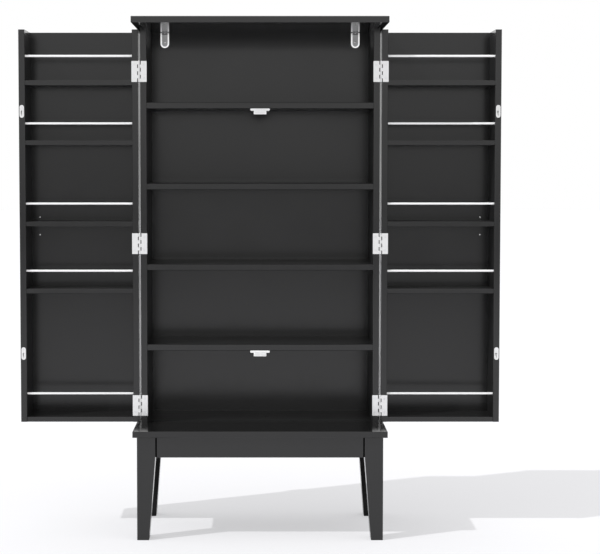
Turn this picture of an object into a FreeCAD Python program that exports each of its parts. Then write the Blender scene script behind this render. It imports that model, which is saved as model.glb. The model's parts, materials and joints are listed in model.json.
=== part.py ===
import FreeCAD, Part
import math
import os
from FreeCAD import Vector

# Buffet cabinet on a stand of tapered legs, drawn with both doors swung flat open.
# Millimetres, +Z up, front towards -Y, origin on the floor under the middle of the top panel.

# Overall sizes
TOTAL_HEIGHT = 1250.0
TOP_WIDTH = 610.0
TOP_DEPTH = 370.0
TOP_OVERHANG = 12.5         # top and base panels past each case side
BOARD = 15.0                # case boards, door stiles and door panels
EDGE_EASE = 0.8             # chamfer along the edges that a hand meets
HOUSING_DEPTH = 4.0         # how far a board's end is let into its neighbour

# Stand
STAND_HEIGHT = 249.0        # floor to the underside of the base panel
LEG_WIDTH = 44.0
LEG_FOOT_WIDTH = 28.5
LEG_DEPTH = 45.0
LEG_SIDE_INSET = 10.0       # base panel's side edge to the leg's outer face
LEG_END_INSET = 10.0        # base panel's front or rear edge to the leg
APRON_HEIGHT = 49.0
APRON_THICKNESS = 18.0
APRON_SETBACK = 1.0         # apron face behind the leg face
SHADOW_WIDTH = 4.0          # groove between a leg and the apron's face
SHADOW_DEPTH = 6.0
TENON_LENGTH = 16.0
TENON_THICKNESS = 8.0
TENON_SHOULDER = 8.0        # above and below the tenon
TENON_BACK = 2.0            # from the apron's inner face to the tenon
TENON_CLEARANCE = 0.1
BLOCK_REACH = 45.0          # glue block, along each apron from the leg
BLOCK_HEIGHT = 30.0

# Case
BACK_THICKNESS = 5.0
SHELF_COUNT = 4
SHELF_SETBACK = 3.0         # shelf front behind the case front
LOWEST_BAY = 179.5          # clear height over the base panel; the shelves divide the rest evenly

# Doors with their racks
DOOR_REVEAL = 11.5          # closed door's face behind the top's front edge
CENTRE_GAP = 2.0            # between the two closed doors
DOOR_TOP_GAP = 6.0
DOOR_BASE_GAP = 3.0
RACK_DEPTH = 116.0          # stile depth in front of the door panel
DOOR_SHELF = 12.0
DOOR_SHELF_SETBACK = 2.5
RACK_BAYS = (123.0, 134.0, 187.0, 153.0)       # clear heights from the top down; the lowest takes the rest
RAIL_RISES = (59.0, 41.0, 44.0, 44.0, 58.0)    # rail centre over each door shelf, from the top down
RAIL_RADIUS = 2.75
RAIL_SETBACK = 8.0          # rail centre behind the stile's front edge
RAIL_SOCKET = 6.0           # length of rail inside each stile
FIT_CLEARANCE = 0.05        # round a pin, a rail end or a screw

# Butt hinges
HINGE_HEIGHT = 50.8
HINGE_FROM_BOTTOM = 41.0    # lowest hinge over the door's lower edge
HINGE_FROM_TOP = 102.0      # highest hinge under the door's top edge
HINGE_UNDER_MIDDLE = 41.0   # middle hinge under the door's mid height
LEAF_THICKNESS = 1.5
LEAF_GAP = 0.5              # between the two leaves of a closed door
LEAF_OVERHANG = 1.0         # leaf's free edge past the board's inner face
KNUCKLE_COUNT = 6
KNUCKLE_GAP = 0.3
BARREL_RADIUS = 2.4
BARREL_CLEARANCE = 0.1      # barrel to the boards beside it
NOTCH_CLEARANCE = 2.0       # leaf edge to the other leaf's knuckles
PIN_RADIUS = 1.2
PIN_HEAD_RADIUS = 1.9
PIN_HEAD_HEIGHT = 0.8
PIN_HEAD_GAP = 0.1          # pin head over the top knuckle
HINGE_SCREW_SPACING = 32.0

# Screws
SCREW_HEAD_RADIUS = 2.6
SCREW_SHANK_RADIUS = 1.2
SCREW_LENGTH = 14.0
SCREW_POINT = 3.6           # length of the tapered end
PAN_HEAD_RADIUS = 2.6
PAN_HEAD_HEIGHT = 1.2
PAN_HEAD_SLOPE = 1.0        # how far the top of a pan head is drawn in

# Flats on small repeated round work: knuckles with their pins, screws and sockets, half-round strike ends
BARREL_FLAT_COUNT = 10
SCREW_FLAT_COUNT = 8
STRIKE_END_FLAT_COUNT = 8

# Door pulls, whose two screws stand above and below a door shelf
PULL_SHELF_COUNT = 3        # door shelves from the top down to the one between its screws
PULL_DROP = 8.5             # pull's middle under the middle of that shelf
PULL_SPACING = 43.5         # between the two screws
PULL_EDGE = 36.0            # from the door's free edge
PULL_BAR = 8.0              # thickness of the bent bar
PULL_WIDTH = 11.0
PULL_PROJECTION = 28.0      # door face to the bar's outer face
PULL_BEND = 3.0             # inner radius of each bend
PULL_THREAD_DEPTH = 9.0
PULL_SCREW_RADIUS = 1.6
PULL_SCREW_HEAD_RADIUS = 2.7
PULL_SCREW_HEAD_HEIGHT = 1.8

# Magnetic catches under the first and the last shelf, and their strikes
CATCH_EAR_WIDTH = 48.0
CATCH_EAR_HEIGHT = 5.0
CATCH_EAR_DEPTH = 16.0
CATCH_EAR_EASE = 2.2
CATCH_SCREW_SETBACK = 10.0  # from the catch's front
CATCH_SCREW_BITE = 7.0
CATCH_BODY_WIDTH = 31.0
CATCH_BODY_HEIGHT = 14.0
CATCH_BODY_DEPTH = 18.0
CATCH_WALL = 2.5
CATCH_GAP = 0.3             # magnet to the strike of a closed door
MAGNET_PROUD = 1.0          # magnet ahead of the catch's front
MAGNET_LENGTH = 12.0
STRIKE_WIDTH = 11.0
STRIKE_LENGTH = 31.0
STRIKE_THICKNESS = 1.2
STRIKE_RIM = 3.0
STRIKE_DISH_DEPTH = 0.4

# Stamped corner brackets under the top, against the back panel
BRACKET_INSET = 34.5        # from the case side to the bracket's middle
BRACKET_WIDTH = 22.0
BRACKET_DROP = 38.0
BRACKET_FLANGE = 24.0       # depth under the top
BRACKET_THICKNESS = 1.5
BRACKET_RIM_WIDTH = 3.5
BRACKET_RIM_HEIGHT = 1.4
BRACKET_SCREW_DROP = 23.0   # from the top to the screw in the tongue
BRACKET_SCREW_REACH = 15.0  # from the back panel to the screw in the flange
BRACKET_SCREW_BITE = 10.5
BRACKET_POINT_COVER = 1.0   # back panel left behind the screw in the tongue

# Planes and lines that follow from the sizes above
FRONT_EDGE = -TOP_DEPTH / 2
REAR_EDGE = TOP_DEPTH / 2
BASE_TOP = STAND_HEIGHT + BOARD
TOP_UNDER = TOTAL_HEIGHT - BOARD
SIDE_OUTER = TOP_WIDTH / 2 - TOP_OVERHANG
SIDE_INNER = SIDE_OUTER - BOARD
DOOR_STANDOFF = 2 * LEAF_THICKNESS + LEAF_GAP
CASE_FRONT = FRONT_EDGE + DOOR_REVEAL + BOARD + RACK_DEPTH + DOOR_STANDOFF
BACK_FACE = REAR_EDGE - BACK_THICKNESS
SHELF_FRONT = CASE_FRONT + SHELF_SETBACK
SHELF_PITCH = (TOP_UNDER - BASE_TOP - LOWEST_BAY) / SHELF_COUNT
SHELF_FLOORS = [BASE_TOP + LOWEST_BAY + i * SHELF_PITCH for i in range(SHELF_COUNT)]
LEG_OUTER = TOP_WIDTH / 2 - LEG_SIDE_INSET
LEG_INNER = LEG_OUTER - LEG_WIDTH
LEG_FRONT = FRONT_EDGE + LEG_END_INSET
LEG_BACK = LEG_FRONT + LEG_DEPTH
APRON_BOTTOM = STAND_HEIGHT - APRON_HEIGHT
HINGE_GAP = 2 * (BARREL_RADIUS + BARREL_CLEARANCE)
PIVOT_X = SIDE_OUTER + HINGE_GAP / 2
PIVOT_Y = CASE_FRONT - DOOR_STANDOFF / 2
LEAF_NEAR = BARREL_RADIUS + NOTCH_CLEARANCE
LEAF_FAR = HINGE_GAP / 2 + BOARD + LEAF_OVERHANG
DOOR_INNER = SIDE_OUTER + HINGE_GAP
DOOR_OUTER = DOOR_INNER + SIDE_OUTER - CENTRE_GAP / 2
DOOR_BOTTOM = BASE_TOP + DOOR_BASE_GAP
DOOR_TOP = TOP_UNDER - DOOR_TOP_GAP
DOOR_MIDDLE = (DOOR_BOTTOM + DOOR_TOP) / 2
DOOR_SHELF_FLOORS = [DOOR_TOP - sum(RACK_BAYS[:i + 1]) - (i + 1) * DOOR_SHELF for i in range(len(RACK_BAYS))]
DOOR_SHELF_FLOORS.append(DOOR_BOTTOM)
PULL_MIDDLE = DOOR_SHELF_FLOORS[PULL_SHELF_COUNT - 1] + DOOR_SHELF / 2 - PULL_DROP
PULL_HEIGHTS = (PULL_MIDDLE - PULL_SPACING / 2, PULL_MIDDLE + PULL_SPACING / 2)
RACK_BACK = CASE_FRONT + RACK_DEPTH
DOOR_FACE = RACK_BACK + BOARD
HINGE_CENTRES = (DOOR_BOTTOM + HINGE_FROM_BOTTOM, DOOR_MIDDLE - HINGE_UNDER_MIDDLE, DOOR_TOP - HINGE_FROM_TOP)
CATCH_ROOFS = (SHELF_FLOORS[0], SHELF_FLOORS[-1])
CATCH_FRONT = CASE_FRONT - DOOR_STANDOFF + STRIKE_THICKNESS + CATCH_GAP + MAGNET_PROUD
STRIKE_X = DOOR_OUTER - BOARD / 2
PULL_X = DOOR_OUTER - PULL_EDGE
BRACKET_X = SIDE_INNER - BRACKET_INSET

X_AXIS = Vector(1, 0, 0)
Y_AXIS = Vector(0, 1, 0)
Z_AXIS = Vector(0, 0, 1)
ORIGIN = Vector(0, 0, 0)
SAME = 1e-6                 # points closer than this are one point

parts = {}


def block(x0, x1, y0, y1, z0, z1):
    """A box between two corners."""
    return Part.makeBox(x1 - x0, y1 - y0, z1 - z0, Vector(x0, y0, z0))


def rod(start, axis, radius, length):
    return Part.makeCylinder(radius, length, start, axis)


def mirrored(shape):
    """The other hand of a piece, across the middle of the cabinet."""
    return shape.mirror(ORIGIN, X_AXIS)


def both_sides(shapes):
    return shapes + [mirrored(s) for s in shapes]


def save_pair(name, right):
    """A right-hand piece and its mirror image on the left."""
    parts["right_" + name] = right
    parts["left_" + name] = mirrored(right)


def extruded(points, sweep):
    """A prism on a closed outline of points."""
    face = Part.Face(Part.makePolygon([*points, points[0]]))
    return face.extrude(sweep)


def eased(solid, **planes):
    """Chamfer the edges that lie in the planes named by axis, such as y=(front,)."""
    chosen = []
    for edge in solid.Edges:
        ends = [v.Point for v in edge.Vertexes]
        for name, values in planes.items():
            if any(all(abs(getattr(p, name) - v) < SAME for p in ends) for v in values):
                chosen.append(edge)
                break
    return solid.makeChamfer(EDGE_EASE, chosen)


def faceted(profile, start, axis, flats):
    """A closed loop of (radius, height) pairs turned about an axis, with flats in place of a round."""
    def corner(pair, step):
        angle = 2 * math.pi * (step + 0.5) / flats
        return Vector(pair[0] * math.cos(angle), pair[0] * math.sin(angle), pair[1])

    faces = []
    for here, there in zip(profile, profile[1:] + profile[:1]):
        for step in range(flats):
            beyond = step + 1
            quad = [corner(here, step), corner(here, beyond), corner(there, beyond), corner(there, step)]
            outline = []
            for point in quad:
                if all(point.distanceToPoint(p) > SAME for p in outline):
                    outline.append(point)
            if len(outline) > 2:
                faces.append(Part.Face(Part.makePolygon([*outline, outline[0]])))
    solid = Part.makeSolid(Part.makeShell(faces)).removeSplitter()
    if solid.Volume < 0:
        solid.reverse()
    solid.Placement = FreeCAD.Placement(start, FreeCAD.Rotation(Z_AXIS, axis))
    return solid


def flatted_hole(start, axis, radius, length, flats):
    """A hole whose flats clear a round of the given radius."""
    wide = (radius + FIT_CLEARANCE) / math.cos(math.pi / flats)
    return faceted([(0, 0), (wide, 0), (wide, length), (0, length)], start, axis, flats)


def countersunk_screw(face_point, axis, head_height):
    """A wood screw whose head is flush at face_point and whose point lies along axis."""
    profile = [(0, 0), (SCREW_HEAD_RADIUS, 0), (SCREW_SHANK_RADIUS, head_height),
               (SCREW_SHANK_RADIUS, SCREW_LENGTH - SCREW_POINT), (0, SCREW_LENGTH)]
    return faceted(profile, face_point, axis, SCREW_FLAT_COUNT)


def countersink(face_point, axis, depth):
    """The tapered hole that the screw's head sits in."""
    wide = SCREW_HEAD_RADIUS + FIT_CLEARANCE
    narrow = SCREW_SHANK_RADIUS + FIT_CLEARANCE
    return faceted([(0, 0), (wide, 0), (narrow, depth), (0, depth)], face_point, axis, SCREW_FLAT_COUNT)


def pan_screw(seat, axis, head_radius, head_height, shank_radius, length):
    """A screw whose domed head stands on its seat and whose shank lies along axis."""
    profile = [(0, -head_height), (head_radius - PAN_HEAD_SLOPE, -head_height), (head_radius, 0),
               (shank_radius, 0), (shank_radius, length), (0, length)]
    return faceted(profile, seat, axis, SCREW_FLAT_COUNT)


def small_pan_screw(seat, axis, length):
    return pan_screw(seat, axis, PAN_HEAD_RADIUS, PAN_HEAD_HEIGHT, SCREW_SHANK_RADIUS, length)


# Stand: four legs tapered on their inner face, four aprons tenoned into them, glue blocks
def leg_blank():
    outline = [Vector(LEG_OUTER, LEG_FRONT, 0), Vector(LEG_OUTER, LEG_FRONT, STAND_HEIGHT),
               Vector(LEG_INNER, LEG_FRONT, STAND_HEIGHT), Vector(LEG_INNER, LEG_FRONT, APRON_BOTTOM),
               Vector(LEG_OUTER - LEG_FOOT_WIDTH, LEG_FRONT, 0)]
    blank = extruded(outline, Y_AXIS * LEG_DEPTH)
    return eased(blank, y=(LEG_FRONT, LEG_BACK), z=(0.0,))


def apron(half_length, face):
    """A board along X with grooved, tenoned ends; face is its outer plane, towards -Y."""
    back = face + APRON_THICKNESS
    tenon_back = back - TENON_BACK
    tenon_half = half_length + TENON_LENGTH
    board = block(-half_length, half_length, face, back, APRON_BOTTOM, STAND_HEIGHT)
    tenon = block(-tenon_half, tenon_half, tenon_back - TENON_THICKNESS, tenon_back,
                  APRON_BOTTOM + TENON_SHOULDER, STAND_HEIGHT - TENON_SHOULDER)
    groove = block(half_length - SHADOW_WIDTH, half_length, face, face + SHADOW_DEPTH,
                   APRON_BOTTOM, STAND_HEIGHT)
    return board.fuse(tenon).removeSplitter().cut(both_sides([groove]))


def mortise(half_length, face):
    """The socket that takes the tenon at the +X end of an apron along X."""
    back = face + APRON_THICKNESS - TENON_BACK + TENON_CLEARANCE
    front = back - TENON_THICKNESS - 2 * TENON_CLEARANCE
    low = APRON_BOTTOM + TENON_SHOULDER - TENON_CLEARANCE
    high = STAND_HEIGHT - TENON_SHOULDER + TENON_CLEARANCE
    return block(half_length, half_length + TENON_LENGTH + TENON_CLEARANCE, front, back, low, high)


def quarter_turn(shape):
    """Turn a piece that faces -Y to face +X."""
    return shape.rotated(ORIGIN, Z_AXIS, 90)


def build_stand():
    front_face = LEG_FRONT + APRON_SETBACK
    side_face = -LEG_OUTER + APRON_SETBACK
    side_half = -LEG_BACK
    front = apron(LEG_INNER, front_face)
    parts["front_apron"] = front
    parts["rear_apron"] = front.rotated(ORIGIN, Z_AXIS, 180)
    save_pair("apron", quarter_turn(apron(side_half, side_face)))

    side_mortise = quarter_turn(mirrored(mortise(side_half, side_face)))
    leg = leg_blank().cut([mortise(LEG_INNER, front_face), side_mortise])
    save_pair("front_leg", leg)
    save_pair("rear_leg", leg.mirror(ORIGIN, Y_AXIS))

    inner_x = LEG_OUTER - APRON_SETBACK - APRON_THICKNESS
    inner_y = front_face + APRON_THICKNESS
    outline = [(LEG_INNER - BLOCK_REACH, inner_y), (LEG_INNER, inner_y), (LEG_INNER, LEG_BACK),
               (inner_x, LEG_BACK), (inner_x, LEG_BACK + BLOCK_REACH)]
    corners = [Vector(x, y, STAND_HEIGHT - BLOCK_HEIGHT) for x, y in outline]
    front_pair = both_sides([extruded(corners, Z_AXIS * BLOCK_HEIGHT)])
    rear_pair = [b.mirror(ORIGIN, Y_AXIS) for b in front_pair]
    parts["glue_blocks"] = Part.makeCompound(front_pair + rear_pair)


# Case: top and base panels with the sides let into them, shelves let into the sides, back panel
def build_case():
    half = TOP_WIDTH / 2
    side = block(SIDE_INNER, SIDE_OUTER, CASE_FRONT, BACK_FACE,
                 BASE_TOP - HOUSING_DEPTH, TOP_UNDER + HOUSING_DEPTH)
    side = eased(side, y=(CASE_FRONT,))
    sides = both_sides([side])
    top = block(-half, half, FRONT_EDGE, REAR_EDGE, TOP_UNDER, TOTAL_HEIGHT)
    base = block(-half, half, FRONT_EDGE, REAR_EDGE, STAND_HEIGHT, BASE_TOP)
    parts["top_panel"] = eased(top, x=(-half, half), z=(TOTAL_HEIGHT, TOP_UNDER)).cut(sides)
    parts["base_panel"] = eased(base, x=(-half, half), z=(BASE_TOP, STAND_HEIGHT)).cut(sides)
    parts["back_panel"] = block(-SIDE_OUTER, SIDE_OUTER, BACK_FACE, REAR_EDGE, BASE_TOP, TOP_UNDER)

    reach = SIDE_INNER + HOUSING_DEPTH
    shelves = []
    for floor in SHELF_FLOORS:
        shelf = block(-reach, reach, SHELF_FRONT, BACK_FACE, floor, floor + BOARD)
        shelves.append(eased(shelf, y=(SHELF_FRONT,)))
    for number, shelf in enumerate(reversed(shelves), start=1):
        parts[f"shelf_{number}"] = shelf
    save_pair("side", side.cut(shelves))


# Hinges: leaves with interleaved knuckles on the front edges of the case sides and the door stiles
def knuckle_spans(centre, first):
    """The heights of every second knuckle, counted from the top, starting with first."""
    pitch = HINGE_HEIGHT / KNUCKLE_COUNT
    top = centre + HINGE_HEIGHT / 2
    return [(top - (i + 1) * pitch + KNUCKLE_GAP / 2, top - i * pitch - KNUCKLE_GAP / 2)
            for i in range(first, KNUCKLE_COUNT, 2)]


def hinge_screw_points(side):
    """Points on the leaves' faces for the screws; side is +1 on the door and -1 on the case."""
    x = PIVOT_X + side * (LEAF_NEAR + LEAF_FAR) / 2
    return [Vector(x, CASE_FRONT - LEAF_THICKNESS, centre + s * HINGE_SCREW_SPACING / 2)
            for centre in HINGE_CENTRES for s in (-1, 1)]


def hinge_leaf(centre, side, first):
    """A leaf whose knuckles curl round the pin; side as above, first counts knuckles from the top."""
    low = centre - HINGE_HEIGHT / 2
    high = centre + HINGE_HEIGHT / 2

    def strip(near, far, z0, z1):
        xs = sorted((PIVOT_X + side * near, PIVOT_X + side * far))
        return block(xs[0], xs[1], CASE_FRONT - LEAF_THICKNESS, CASE_FRONT, z0, z1)

    leaf = strip(LEAF_NEAR, LEAF_FAR, low, high)
    for z0, z1 in knuckle_spans(centre, first):
        length = z1 - z0
        profile = [(0, 0), (BARREL_RADIUS, 0), (BARREL_RADIUS, length), (0, length)]
        knuckle = faceted(profile, Vector(PIVOT_X, PIVOT_Y, z0), Z_AXIS, BARREL_FLAT_COUNT)
        leaf = leaf.fuse([strip(0, LEAF_NEAR, z0, z1), knuckle])
    bore = flatted_hole(Vector(PIVOT_X, PIVOT_Y, low), Z_AXIS, PIN_RADIUS, HINGE_HEIGHT, BARREL_FLAT_COUNT)
    return leaf.removeSplitter().cut(bore)


def hinge_pin(centre):
    """A headed pin that drops through all the knuckles."""
    low = centre - HINGE_HEIGHT / 2 + KNUCKLE_GAP / 2
    seat = centre + HINGE_HEIGHT / 2 - KNUCKLE_GAP / 2 + PIN_HEAD_GAP
    profile = [(0, 0), (PIN_HEAD_RADIUS, 0), (PIN_HEAD_RADIUS, PIN_HEAD_HEIGHT), (0, PIN_HEAD_HEIGHT)]
    head = faceted(profile, Vector(PIVOT_X, PIVOT_Y, seat), Z_AXIS, BARREL_FLAT_COUNT)
    return rod(Vector(PIVOT_X, PIVOT_Y, low), Z_AXIS, PIN_RADIUS, seat - low).fuse(head)


def build_hinges():
    case_screws = [countersunk_screw(p, Y_AXIS, LEAF_THICKNESS) for p in hinge_screw_points(-1)]
    door_screws = [countersunk_screw(p, Y_AXIS, LEAF_THICKNESS) for p in hinge_screw_points(1)]
    parts["case_hinge_screws"] = Part.makeCompound(both_sides(case_screws))
    save_pair("door_hinge_screws", Part.makeCompound(door_screws))
    for name, side, first in (("door_hinge_leaves", 1, 0), ("case_hinge_leaves", -1, 1)):
        holes = [countersink(p, Y_AXIS, LEAF_THICKNESS) for p in hinge_screw_points(side)]
        leaves = [hinge_leaf(c, side, first).cut(holes) for c in HINGE_CENTRES]
        save_pair(name, Part.makeCompound(leaves))
    save_pair("hinge_pins", Part.makeCompound([hinge_pin(c) for c in HINGE_CENTRES]))


# Doors: a flat outer panel, two deep stiles, door shelves and guard rails
def build_doors():
    stile_in = DOOR_INNER + BOARD
    stile_out = DOOR_OUTER - BOARD
    stile_back = RACK_BACK + HOUSING_DEPTH
    panel = block(DOOR_INNER, DOOR_OUTER, RACK_BACK, DOOR_FACE, DOOR_BOTTOM, DOOR_TOP)
    panel = eased(panel, y=(DOOR_FACE,))
    hinge_stile = block(DOOR_INNER, stile_in, CASE_FRONT, stile_back, DOOR_BOTTOM, DOOR_TOP)
    free_stile = block(stile_out, DOOR_OUTER, CASE_FRONT, stile_back, DOOR_BOTTOM, DOOR_TOP)
    stiles = [eased(s, y=(CASE_FRONT,)) for s in (hinge_stile, free_stile)]

    shelf_front = CASE_FRONT + DOOR_SHELF_SETBACK
    shelves = []
    for number, floor in enumerate(DOOR_SHELF_FLOORS, start=1):
        shelf = block(stile_in - HOUSING_DEPTH, stile_out + HOUSING_DEPTH, shelf_front, RACK_BACK,
                      floor, floor + DOOR_SHELF)
        shelves.append(eased(shelf, y=(shelf_front,)))
        save_pair(f"door_shelf_{number}", shelves[-1])

    rails = []
    sockets = []
    span = stile_out - stile_in + 2 * RAIL_SOCKET
    for floor, rise in zip(DOOR_SHELF_FLOORS, RAIL_RISES):
        end = Vector(stile_in - RAIL_SOCKET, CASE_FRONT + RAIL_SETBACK, floor + DOOR_SHELF + rise)
        rails.append(rod(end, X_AXIS, RAIL_RADIUS, span))
        sockets.append(flatted_hole(end, X_AXIS, RAIL_RADIUS, span, SCREW_FLAT_COUNT))
    save_pair("door_rails", Part.makeCompound(rails))
    for name, stile in zip(("door_hinge_stile", "door_free_stile"), stiles):
        save_pair(name, stile.cut(shelves + sockets))

    holes = [flatted_hole(Vector(PULL_X, RACK_BACK, z), Y_AXIS, PULL_SCREW_RADIUS, BOARD, SCREW_FLAT_COUNT)
             for z in PULL_HEIGHTS]
    save_pair("door_panel", panel.cut(stiles + holes))


# Door pulls: a flat bar bent to a bow, held by screws through the door panel into its feet
def build_pulls():
    left = PULL_X - PULL_WIDTH / 2
    right = PULL_X + PULL_WIDTH / 2
    low = PULL_HEIGHTS[0] - PULL_BAR / 2
    high = PULL_HEIGHTS[1] + PULL_BAR / 2
    outer = DOOR_FACE + PULL_PROJECTION
    inner = outer - PULL_BAR
    pull = block(left, right, DOOR_FACE, outer, low, high)
    pull = pull.cut(block(left, right, DOOR_FACE, inner, low + PULL_BAR, high - PULL_BAR))
    for face, radius in ((outer, PULL_BEND + PULL_BAR), (inner, PULL_BEND)):
        bends = [e for e in pull.Edges
                 if abs(e.Length - PULL_WIDTH) < SAME and all(abs(v.Y - face) < SAME for v in e.Vertexes)]
        pull = pull.makeFillet(radius, bends)
    screws = []
    threads = []
    for z in PULL_HEIGHTS:
        foot = Vector(PULL_X, DOOR_FACE, z)
        threads.append(flatted_hole(foot, Y_AXIS, PULL_SCREW_RADIUS, PULL_THREAD_DEPTH, SCREW_FLAT_COUNT))
        screws.append(pan_screw(Vector(PULL_X, RACK_BACK, z), Y_AXIS, PULL_SCREW_HEAD_RADIUS,
                                PULL_SCREW_HEAD_HEIGHT, PULL_SCREW_RADIUS, BOARD + PULL_THREAD_DEPTH))
    save_pair("door_pull", pull.cut(threads))
    save_pair("door_pull_screws", Part.makeCompound(screws))


# Catches: a housing with two ears and two magnets, and a dished strike on each door
def build_catches():
    ear_middle = (CATCH_BODY_WIDTH + CATCH_EAR_WIDTH) / 4
    magnet_width = (CATCH_BODY_WIDTH - 3 * CATCH_WALL) / 2
    magnet_front = CATCH_FRONT - MAGNET_PROUD
    magnets = []
    screws = []
    housings = []
    for roof in CATCH_ROOFS:
        ears = block(-CATCH_EAR_WIDTH / 2, CATCH_EAR_WIDTH / 2, CATCH_FRONT, CATCH_FRONT + CATCH_EAR_DEPTH,
                     roof - CATCH_EAR_HEIGHT, roof)
        ends = [e for e in ears.Edges if abs(e.Length - CATCH_EAR_DEPTH) < SAME]
        ears = ears.makeChamfer(CATCH_EAR_EASE, ends)
        body = block(-CATCH_BODY_WIDTH / 2, CATCH_BODY_WIDTH / 2, CATCH_FRONT,
                     CATCH_FRONT + CATCH_BODY_DEPTH, roof - CATCH_BODY_HEIGHT, roof)
        magnet = block(CATCH_WALL / 2, CATCH_WALL / 2 + magnet_width, magnet_front,
                       magnet_front + MAGNET_LENGTH, roof - CATCH_BODY_HEIGHT + CATCH_WALL, roof - CATCH_WALL)
        pair = both_sides([magnet])
        holes = []
        for side in (-1, 1):
            seat = Vector(side * ear_middle, CATCH_FRONT + CATCH_SCREW_SETBACK, roof - CATCH_EAR_HEIGHT)
            holes.append(flatted_hole(seat, Z_AXIS, SCREW_SHANK_RADIUS, CATCH_EAR_HEIGHT, SCREW_FLAT_COUNT))
            screws.append(small_pan_screw(seat, Z_AXIS, CATCH_EAR_HEIGHT + CATCH_SCREW_BITE))
        housings.append(ears.fuse(body).removeSplitter().cut(pair + holes))
        magnets += pair
    parts["lower_catch"], parts["upper_catch"] = housings
    parts["catch_magnets"] = Part.makeCompound(magnets)
    parts["catch_screws"] = Part.makeCompound(screws)


def obround(middle, width, length, sweep):
    """A plate along Z with half-round ends, its front face on the middle point."""
    radius = width / 2
    rise = length / 2 - radius
    turns = [math.pi * i / STRIKE_END_FLAT_COUNT for i in range(STRIKE_END_FLAT_COUNT + 1)]
    upper = [X_AXIS * radius * math.cos(t) + Z_AXIS * (rise + radius * math.sin(t)) for t in turns]
    outline = [middle + p for p in upper] + [middle - p for p in upper]
    return extruded(outline, Y_AXIS * sweep)


def build_strikes():
    seat_depth = STRIKE_THICKNESS - STRIKE_DISH_DEPTH
    strikes = []
    screws = []
    for roof in CATCH_ROOFS:
        middle = Vector(STRIKE_X, CASE_FRONT - STRIKE_THICKNESS, roof - CATCH_BODY_HEIGHT / 2)
        seat = middle + Y_AXIS * STRIKE_DISH_DEPTH
        plate = obround(middle, STRIKE_WIDTH, STRIKE_LENGTH, STRIKE_THICKNESS)
        dish = obround(middle, STRIKE_WIDTH - 2 * STRIKE_RIM, STRIKE_LENGTH - 2 * STRIKE_RIM,
                       STRIKE_DISH_DEPTH)
        strikes.append(plate.cut([dish, countersink(seat, Y_AXIS, seat_depth)]))
        screws.append(countersunk_screw(seat, Y_AXIS, seat_depth))
    save_pair("door_strikes", Part.makeCompound(strikes))
    save_pair("door_strike_screws", Part.makeCompound(screws))


# Brackets: a stamped angle with a rounded tongue and a raised rim
def tongue(inset, face, sweep):
    """The tongue's outline, drawn in by inset at its sides and end, in the plane y = face."""
    radius = BRACKET_WIDTH / 2 - inset
    low = TOP_UNDER - BRACKET_DROP + BRACKET_WIDTH / 2
    left = BRACKET_X - radius
    right = BRACKET_X + radius
    corners = [Vector(left, face, low), Vector(left, face, TOP_UNDER), Vector(right, face, TOP_UNDER),
               Vector(right, face, low)]
    edges = [Part.LineSegment(a, b) for a, b in zip(corners, corners[1:])]
    edges.append(Part.Arc(corners[-1], Vector(BRACKET_X, face, low - radius), corners[0]))
    outline = Part.Wire([e.toShape() for e in edges])
    return Part.Face(outline).extrude(Y_AXIS * sweep)


def build_brackets():
    half = BRACKET_WIDTH / 2
    rim_depth = BRACKET_THICKNESS + BRACKET_RIM_HEIGHT
    rim_face = BACK_FACE - rim_depth
    flange_low = TOP_UNDER - BRACKET_THICKNESS
    rimmed = tongue(0, rim_face, rim_depth).cut(tongue(BRACKET_RIM_WIDTH, rim_face, BRACKET_RIM_HEIGHT))
    flange = block(BRACKET_X - half, BRACKET_X + half, BACK_FACE - BRACKET_FLANGE, BACK_FACE,
                   flange_low, TOP_UNDER)
    tongue_seat = Vector(BRACKET_X, BACK_FACE - BRACKET_THICKNESS, TOP_UNDER - BRACKET_SCREW_DROP)
    flange_seat = Vector(BRACKET_X, BACK_FACE - BRACKET_SCREW_REACH, flange_low)
    seats = ((tongue_seat, Y_AXIS, BACK_THICKNESS - BRACKET_POINT_COVER),
             (flange_seat, Z_AXIS, BRACKET_SCREW_BITE))
    holes = []
    screws = []
    for seat, axis, bite in seats:
        holes.append(flatted_hole(seat, axis, SCREW_SHANK_RADIUS, BRACKET_THICKNESS, SCREW_FLAT_COUNT))
        screws.append(small_pan_screw(seat, axis, BRACKET_THICKNESS + bite))
    save_pair("bracket", rimmed.fuse(flange).removeSplitter().cut(holes))
    parts["bracket_screws"] = Part.makeCompound(both_sides(screws))


build_stand()
build_case()
build_hinges()
build_doors()
build_pulls()
build_catches()
build_strikes()
build_brackets()

os.makedirs("parts", exist_ok=True)
for name, shape in parts.items():
    if not shape.isValid():
        raise ValueError(f"{name} is not a valid shape")
    shape.exportStep(f"parts/{name}.step")
print(len(parts), "pieces,", sum(len(s.Solids) for s in parts.values()), "solids")
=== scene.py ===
# %% [markdown]
# # A black buffet cabinet with two rack doors
#
# This lesson dresses a cabinet that was drawn in CAD. Its boards are already right, so they keep
# their CAD meshes and only get paint. The small metalwork was drawn there with flats to keep it
# light, so hinges, screws, rails, pulls, catches, strikes and brackets are modelled again here,
# round and with softened edges, each in the place of the CAD solid that it stands for.

# %% Load the cabinet
import json
import math

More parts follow.
